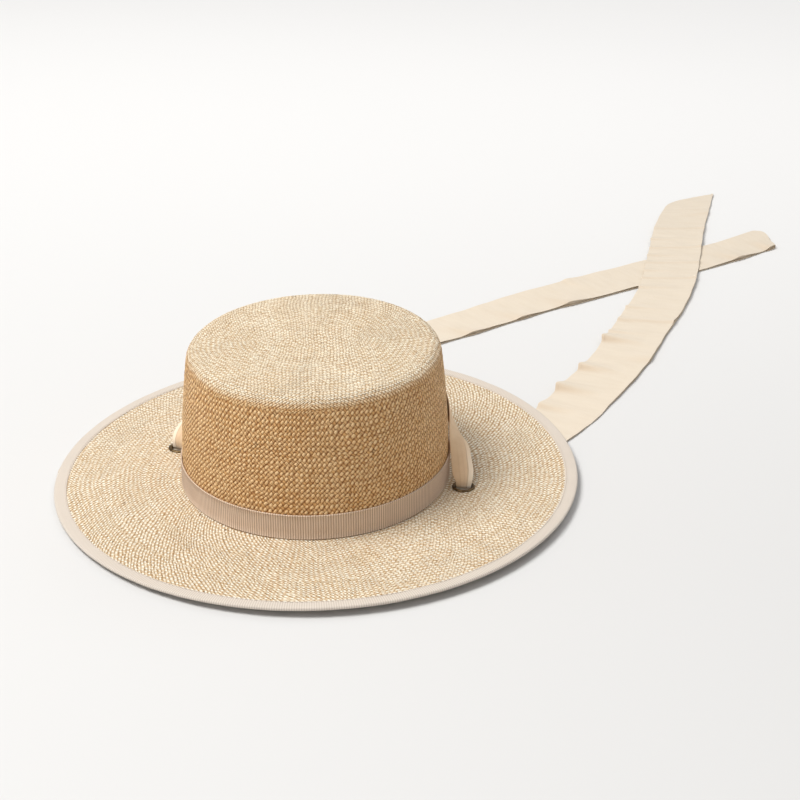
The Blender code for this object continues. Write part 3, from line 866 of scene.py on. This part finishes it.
def crown_shell(columns, wall_rows, offset, cells_top):
    """Points, faces and weave coordinates of one face of the crown, offset inwards."""
    side = columns // 4
    share = np.linspace(0.0, 1.0, wall_rows + 1)
    inset, height, slope = wall_profile(share)
    perimeter = np.arange(columns) / columns * 2 * pi - pi / 4 + radians(TOP_TURN)
    inset = inset + offset * np.cos(slope)
    height = height - offset * np.sin(slope)
    level, way = oval(perimeter[None, :], -inset[:, None])
    wall = with_height(level, height[:, None])
    wall_normal = with_height(way * np.cos(slope)[:, None, None], np.sin(slope)[:, None])

    steps = np.arange(side + 1)
    x = 2 * steps / side - 1
    grid_x, grid_y = np.meshgrid(x, x, indexing="ij")
    angle, ring = square_to_oval(grid_x, grid_y)
    angle = angle + radians(TOP_TURN)
    _, _, lean = wall_profile(1.0)
    edge_inset = WALL_LEAN + SHOULDER * cos(lean)
    reach = SHOULDER * (pi / 2 - lean) + HALF_X - edge_inset
    inset_top, height_top, slope_top = top_profile(reach * (1 - ring))
    inset_top = inset_top + offset * np.cos(slope_top)
    height_top = height_top - offset * np.sin(slope_top)
    shrink = np.clip((HALF_X - inset_top) / HALF_X, 0.0, 1.0)
    long_axis = HALF_Y - inset_top * (1 + (HALF_Y / HALF_X - 1) * (inset_top / HALF_X))
    level_top = np.stack([HALF_X * shrink * np.cos(angle), long_axis * np.sin(angle)], axis=-1)
    _, way_top = oval(angle, 0.0)
    exact, _ = oval(angle, -inset_top)
    outer = smooth_step(ring, 0.55, 0.95)[..., None]
    level_top = level_top * (1 - outer) + exact * outer
    turned = np.radians(TOP_TURN)
    square = np.stack([
        grid_x * cos(turned) - grid_y * sin(turned),
        (grid_x * sin(turned) + grid_y * cos(turned)) * HALF_Y / HALF_X,
    ], axis=-1) * (HALF_X * 0.86)
    round_share = smooth_step(ring, 0.0, 0.7)[..., None]
    level_top = square * (1 - round_share) + level_top * round_share
    top = with_height(level_top, height_top)
    top_normal = with_height(way_top * np.cos(slope_top)[..., None], np.sin(slope_top))

    index = -np.ones((side + 1, side + 1), int)
    border = wall_rows * columns
    run = np.arange(side)
    index[side, run] = border + run
    index[side - run, side] = border + side + run
    index[0, side - run] = border + 2 * side + run
    index[run, 0] = border + 3 * side + run
    inner = index < 0
    index[inner] = wall.shape[0] * columns + np.arange(inner.sum())
    points = np.vstack([wall.reshape(-1, 3), top[inner]])
    normals = np.vstack([wall_normal.reshape(-1, 3), top_normal[inner]])

    faces_wall, step_row, step_column = grid_faces(wall_rows + 1, columns)
    u = step_column * WALL_CELLS / columns
    v = step_row / CELL_SAMPLES
    uv_wall = np.stack([u + v, u - v], axis=-1)
    i, j = [k.ravel() for k in np.meshgrid(run, run, indexing="ij")]
    corners_i = np.stack([i, i + 1, i + 1, i], axis=-1)
    corners_j = np.stack([j, j, j + 1, j + 1], axis=-1)
    faces_top = index[corners_i, corners_j]
    period = side / cells_top
    uv_top = np.stack([
        (corners_i + corners_j) / period,
        (corners_i - corners_j) / period + TOP_UV_SHIFT,
    ], axis=-1)
    faces = np.vstack([faces_wall, faces_top])
    uv = np.concatenate([uv_wall, uv_top])
    return points, normals, faces, uv


MEANDER = 0.35  # how far the strands stray from their rows, in strand widths
SHIFTS = ((0.016, 0, 0.00042), (0.05, 5, 0.0007))  # wavelength, seed step and size of a wander
MIDDLE_HEIGHT = 0.6  # the weave's height that lies on the solid's own face
NUDGE = 1e-6  # keeps a corner out of the cell before it


def displaced(points, normals, faces, uv, seed):
    """The points moved by the weave's relief and by a small wander along the surface."""
    for k in range(2):
        uv[..., k] += MEANDER * wander(points, 0.055, seed + 10 + k)[faces]
    height = np.zeros(len(points))
    height[faces.ravel()] = weave_height(uv[..., 0].ravel() + NUDGE, uv[..., 1].ravel() + NUDGE)
    shift = np.zeros(points.shape)
    for wavelength, step, size in SHIFTS:
        ways = [wander(points, wavelength, seed + step + k) for k in range(3)]
        shift += np.stack(ways, axis=-1) * size
    shift -= normals * np.sum(shift * normals, axis=1, keepdims=True)
    return points + shift + normals * ((height - MIDDLE_HEIGHT) * RELIEF)[:, None]


def make_crown(material):
    wall_rows = int(round((CROWN_TOP - TOP_DOME - SHOULDER - CROWN_FOOT) / WALL_ROW))
    top_cells = COLUMNS // 4 / TOP_CELL_SAMPLES
    points, normals, faces, uv = crown_shell(COLUMNS, wall_rows, 0.0, top_cells)
    points = displaced(points, normals, faces, uv, 11)
    outside = mesh_object("crown_weave", points, faces, uv, material)
    ride(outside, "straw_crown", "crown")
    points, _, faces, uv = crown_shell(COLUMNS // 4, wall_rows // 4, STRAW, top_cells)
    inside = mesh_object("crown_inside", points, faces[:, ::-1], uv[:, ::-1], material)
    ride(inside, "straw_crown", "crown")


# Brim

# Bands of the brim: where each one starts and ends, as shares of its width, and its cells around
BRIM_BANDS = (
    (-0.012, 0.31, 224),
    (0.31, 0.64, 280),
    (0.64, 1.0, 344),
)
BRIM_ROW = 0.0029 / 2
BAND_UV_SHIFT = 800.0  # keeps the cells of one band apart from those of the next
UNDER_CELLS = 280
UNDER_ROWS = 36


def brim_patch(start, end, cells, columns, rows, offset):
    out = np.linspace(start, end, rows + 1) * BRIM_WIDTH
    angle = np.arange(columns) / columns * 2 * pi - pi / 2
    level, _ = oval(angle[None, :], out[:, None])
    height = brim_top(angle[None, :], out[:, None]) - offset
    points = with_height(level, height).reshape(-1, 3)
    faces, step_row, step_column = grid_faces(rows + 1, columns)
    u = step_column * cells / columns
    v = step_row * ((end - start) * BRIM_WIDTH / rows) / (2 * BRIM_ROW)
    return points, faces, np.stack([u + v, u - v], axis=-1)


def keep_clear_of_eyelets(points, faces, uv, radius):
    """Drops the faces that lie in the eyelets' holes."""
    middle = points[faces].mean(axis=1)
    keep = np.ones(len(faces), bool)
    for side in (1, -1):
        eyelet = eyelet_place(side)
        keep &= np.hypot(middle[:, 0] - eyelet.x, middle[:, 1] - eyelet.y) > radius
    return faces[keep], uv[keep]


def make_brim(material):
    clear = EYELET_HOLE + 0.0009
    all_points, all_faces, all_uv = [], [], []
    count = 0
    for k, (start, end, cells) in enumerate(BRIM_BANDS):
        rows = int(round((end - start) * BRIM_WIDTH / BRIM_ROW))
        points, faces, uv = brim_patch(start, end, cells, CELL_SAMPLES * cells, rows, 0.0)
        uv = uv + BAND_UV_SHIFT * k
        normals = np.broadcast_to(np.array([0.0, 0.0, 1.0]), points.shape)
        points = displaced(points, normals, faces, uv, 31)
        faces, uv = keep_clear_of_eyelets(points, faces, uv, clear)
        all_points.append(points)
        all_faces.append(faces + count)
        all_uv.append(uv)
        count += len(points)
    top = mesh_object("brim_weave", *map(np.concatenate, (all_points, all_faces, all_uv)), material)
    ride(top, "straw_brim", "brim")
    start = BRIM_BANDS[0][0]
    points, faces, uv = brim_patch(start, 1.0, UNDER_CELLS, UNDER_CELLS, UNDER_ROWS, STRAW)
    faces, uv = keep_clear_of_eyelets(points, faces, uv, clear)
    under = mesh_object("brim_underside", points, faces[:, ::-1], uv[:, ::-1], material)
    ride(under, "straw_brim", "brim")


# Band and binding

BAND_RIBS = 352
BAND_SAMPLES = 6
RIB_DEPTH = 0.42
# Section of the band, upwards: share of its height, how far it stands out, and how ribbed it is
BAND_SECTION = (
    (0.0, 0.35, 0.2), (0.012, 1.0, 0.5), (0.035, 1.0, 0.5), (0.06, 0.62, 1.0),
    (0.3, 0.7, 1.0), (0.5, 0.72, 1.0), (0.7, 0.7, 1.0),
    (0.94, 0.62, 1.0), (0.965, 1.05, 0.5), (0.988, 1.05, 0.5), (1.0, 0.35, 0.2),
)


def make_band(material):
    """Grosgrain band with upright ribs and a thin cord along its upper and lower edge."""
    columns = BAND_RIBS * BAND_SAMPLES
    angle = np.arange(columns) / columns * 2 * pi - pi / 2
    rib = 0.5 + 0.5 * np.cos(2 * pi * np.arange(columns) / BAND_SAMPLES)
    tall = BAND_HIGH[2] - BAND_LOW[2]
    shares, stand, ribbed = np.array(BAND_SECTION).T
    out = GAP + BAND_THICK * (stand[:, None] + RIB_DEPTH * ribbed[:, None] * (rib[None, :] - 0.5))
    inner = np.full((1, columns), GAP)
    out = np.vstack([inner, out, inner])
    shares = np.concatenate([[0.0], shares, [1.0]])
    level, _ = oval(angle[None, :], out)
    ripple = 0.00012 * wander(with_height(level[0], np.zeros(columns)), 0.05, 61)
    height = BAND_LOW[2] + (tall + ripple[None, :]) * shares[:, None]
    points = with_height(level, height)
    faces, step_row, step_column = grid_faces(len(shares), columns, wrap_rows=True)
    run = np.concatenate([shares, shares[:1]]) * tall / MM
    uv = np.stack([step_column / BAND_SAMPLES, run[step_row]], axis=-1)
    piece = mesh_object("band_ribbon", points, faces, uv, material)
    ride(piece, "band_grosgrain", "band")


BINDING_RIBS = 760
BINDING_SAMPLES = 4
# Puff of the binding's cloth, from its inner edge outwards: share of its width, and how far
BINDING_PUFF = (
    (0.0, -0.00032), (0.04, 0.00002), (0.12, 0.00004),
    (0.2, -0.00012), (0.45, 0.00006), (0.75, 0.0),
)
STITCH_PITCH = 0.0030
STITCH_INSET = 0.0011
STITCH_SHARE = 0.72  # length of a stitch, as a share of the pitch
STITCH_RADIUS = 0.00016
STITCH_RINGS = 5
STITCH_SIDES = 6


def binding_section(angle):
    """Section of the folded binding at each angle: distance out and height, point by point."""
    inner_nose = STRAW / 2
    outer_nose = inner_nose + BINDING_THICK
    inside = BRIM_WIDTH - BINDING_OVER + outer_nose + GAP
    middle = brim_top(angle, BRIM_WIDTH) - STRAW / 2
    leg = brim_top(angle, inside) - STRAW / 2

    def face(rows, side):
        return [(inside + (BRIM_WIDTH - inside) * share,
                 leg + (middle - leg) * share + side * (outer_nose + puff)) for share, puff in rows]

    def nose(radius, first, last, steps):
        turns = np.linspace(first, last, steps)
        return [(BRIM_WIDTH + radius * cos(turn), middle + radius * sin(turn)) for turn in turns]

    outside = face(BINDING_PUFF, 1) + nose(outer_nose, pi / 2, -pi / 2, 9)
    outside += face(BINDING_PUFF[::-1], -1)
    inner = [(inside, leg - inner_nose)] + nose(inner_nose, -pi / 2, pi / 2, 3)
    return outside + inner + [(inside, leg + inner_nose)]


def make_binding(material):
    columns = BINDING_RIBS * BINDING_SAMPLES // 2
    angle = np.arange(columns) / columns * 2 * pi - pi / 2
    rows = []
    section = []
    for out, height in binding_section(angle):
        level, _ = oval(angle, out)
        rows.append(np.column_stack([level, height]))
        section.append((out, float(np.mean(height))))
    section = np.array(section + section[:1])
    lengths = np.linalg.norm(np.diff(section, axis=0), axis=1)
    run = np.concatenate([[0.0], np.cumsum(lengths)])
    shape = np.stack(rows).reshape(-1, 3)
    shape[:, 2] += 0.00006 * wander(shape, 0.02, 71)
    shape[:, 2] = np.maximum(shape[:, 2], 0.0)
    faces, step_row, step_column = grid_faces(len(rows), columns, wrap_rows=True)
    uv = np.stack([step_column * BINDING_RIBS / columns, run[step_row] / MM], axis=-1)
    piece = mesh_object("binding_ribbon", shape, faces, uv, material)
    ride(piece, "binding_grosgrain", "brim_binding")


def make_stitches(material):
    """A row of short stitches just outside the binding's inner edge."""
    inside = BRIM_WIDTH - BINDING_OVER + STRAW / 2 + GAP + BINDING_THICK + STITCH_INSET
    around = 2 * pi * (HALF_X + HALF_Y) / 2 + 2 * pi * inside
    stitches = int(around / STITCH_PITCH)
    centre_angle = (np.arange(stitches) + 0.5) / stitches * 2 * pi - pi / 2
    level, way = oval(centre_angle, inside)
    along = np.column_stack([-way[:, 1], way[:, 0]])
    top = brim_top(centre_angle, inside) + BINDING_THICK
    rings = []
    for share in np.linspace(-1.0, 1.0, STITCH_RINGS):
        middle = level + along * STITCH_PITCH * STITCH_SHARE / 2 * share
        up = top + 0.00002 + STITCH_RADIUS * (1 - share * share)
        radius = STITCH_RADIUS * (1 - 0.55 * share * share)
        for turn in np.arange(STITCH_SIDES) / STITCH_SIDES * 2 * pi:
            out = middle + way * (radius * cos(turn))
            rings.append(np.column_stack([out, up + radius * sin(turn)]))
    block = np.stack(rings, axis=1)
    base, _, _ = grid_faces(STITCH_RINGS, STITCH_SIDES)
    first = np.arange(stitches)[:, None, None] * block.shape[1]
    faces = (base[None, :, :] + first).reshape(-1, 4)
    uv = np.zeros((len(faces), 4, 2))
    row = mesh_object("binding_stitches", block, faces, uv, material)
    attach(row, "root")


# Eyelets

EYELET_COLUMNS = 72
EYELET_DOME = 0.0009
EYELET_LIP = 0.0003
EYELET_THICK = 0.0004


def make_eyelet(side, name, material):
    """A turned ring with a rolled upper flange and a clinched lower one."""
    half = STRAW / 2 + GAP
    reach = EYELET_FLANGE - EYELET_HOLE
    profile = [(EYELET_HOLE, -half - EYELET_THICK), (EYELET_HOLE, half + 0.0002)]
    for turn in np.linspace(pi, 0.0, 9):
        out = EYELET_HOLE + reach * (0.5 + 0.5 * cos(turn))
        profile.append((out, half + EYELET_LIP + (EYELET_DOME - EYELET_LIP) * sin(turn)))
    profile += [
        (EYELET_FLANGE, half - 0.0001),
        (EYELET_HOLE + 0.0005, half - 0.0001),
        (EYELET_HOLE + 0.0005, -half),
        (EYELET_HOLE + 0.8 * reach, -half),
        (EYELET_HOLE + 0.8 * reach, -half - EYELET_THICK),
    ]
    turn = np.arange(EYELET_COLUMNS) / EYELET_COLUMNS * 2 * pi
    radius, height = np.array(profile).T[..., None]
    centre = eyelet_place(side)
    points = np.stack([
        centre.x + radius * np.cos(turn),
        centre.y + radius * np.sin(turn),
        np.broadcast_to(centre.z + height, (len(profile), EYELET_COLUMNS)),
    ], axis=-1)
    faces, step_row, step_column = grid_faces(len(profile), EYELET_COLUMNS, wrap_rows=True)
    uv = np.stack([step_column, step_row], axis=-1)
    piece = mesh_object(name + "_ring", points, faces, uv, material, SHARP_DEG)
    ride(piece, "eyelet_brass", name)


# Stage

FLOOR_SIZE = 40.0
WORLD_TONE = (1.0, 0.99, 0.98, 1.0)
WORLD_STRENGTH = 0.42
# Name, place, what it points at, size, power and colour of each light
LIGHTS = (
    ("key", (-0.90, -0.60, 2.3), (0.0, 0.05, 0.0), 1.3, 60.0, (1.0, 0.985, 0.96)),
    ("back", (0.9, 2.0, 2.1), (0.2, 0.6, 0.0), 1.6, 12.0, (1.0, 1.0, 1.0)),
    ("fill", (0.2, -2.4, 1.6), (0.0, 0.0, 0.05), 2.4, 3.0, (1.0, 0.97, 0.93)),
)


def area_light(name, place, target, size, power, colour):
    light = bpy.data.lights.new(name, "AREA")
    light.shape = "DISK"
    light.size = size
    light.energy = power
    light.color = colour
    holder = bpy.data.objects.new(name, light)
    holder.location = place
    holder.rotation_euler = (Vector(target) - Vector(place)).to_track_quat("-Z", "Y").to_euler()
    bpy.context.scene.collection.objects.link(holder)


def make_stage():
    bpy.ops.mesh.primitive_plane_add(size=FLOOR_SIZE, location=(0.0, 0.0, -FLOOR_GAP))
    floor = bpy.context.object
    floor.name = "floor"
    floor.data.materials.append(plain_floor("floor_paper"))
    world = bpy.data.worlds.new("studio")
    world.use_nodes = True
    sky = world.node_tree.nodes["Background"]
    sky.inputs["Color"].default_value = WORLD_TONE
    sky.inputs["Strength"].default_value = WORLD_STRENGTH
    bpy.context.scene.world = world
    for light in LIGHTS:
        area_light(*light)
    bpy.context.scene.view_settings.view_transform = "Standard"


def main():
    make_camera()
    right = crepe("tie_right_cotton", *END_TONES, RIGHT_FOLDS)
    left = crepe("tie_left_cotton", *END_TONES, LEFT_FOLDS)
    make_tie_end(1, "tie_right_ribbon", RIGHT_END, RIGHT_FOLDS, 101, 0.0003, RIGHT_OVER, right)
    make_tie_end(-1, "tie_left_ribbon", LEFT_END, LEFT_FOLDS, 131, 0.0007, None, left)
    brass = old_brass("eyelet_brass")
    make_eyelet(1, "eyelet_right", brass)
    make_eyelet(-1, "eyelet_left", brass)
    make_tie_loop(crepe("loop_cotton_shaded", *LOOP_SHADE_TONES, pleats=LOOP_PLEATS, whole=LOOP_LENGTH))
    crown_straw = straw("crown_straw", *WALL_SHADE_TONES, WALL_RING, PALE_FROM)
    brim_straw = straw("brim_straw", *BRIM_TONES, 0.0)
    make_crown(crown_straw)
    make_brim(brim_straw)
    make_band(grosgrain("band_grosgrain", *BAND_TONES, RIBBON_THREAD))
    binding = grosgrain("binding_grosgrain", *BINDING_TONES, RIBBON_THREAD)
    thread = grosgrain("stitch_thread", *THREAD_TONES, STITCH_THREAD)
    make_binding(binding)
    make_stitches(thread)
    make_stage()


main()
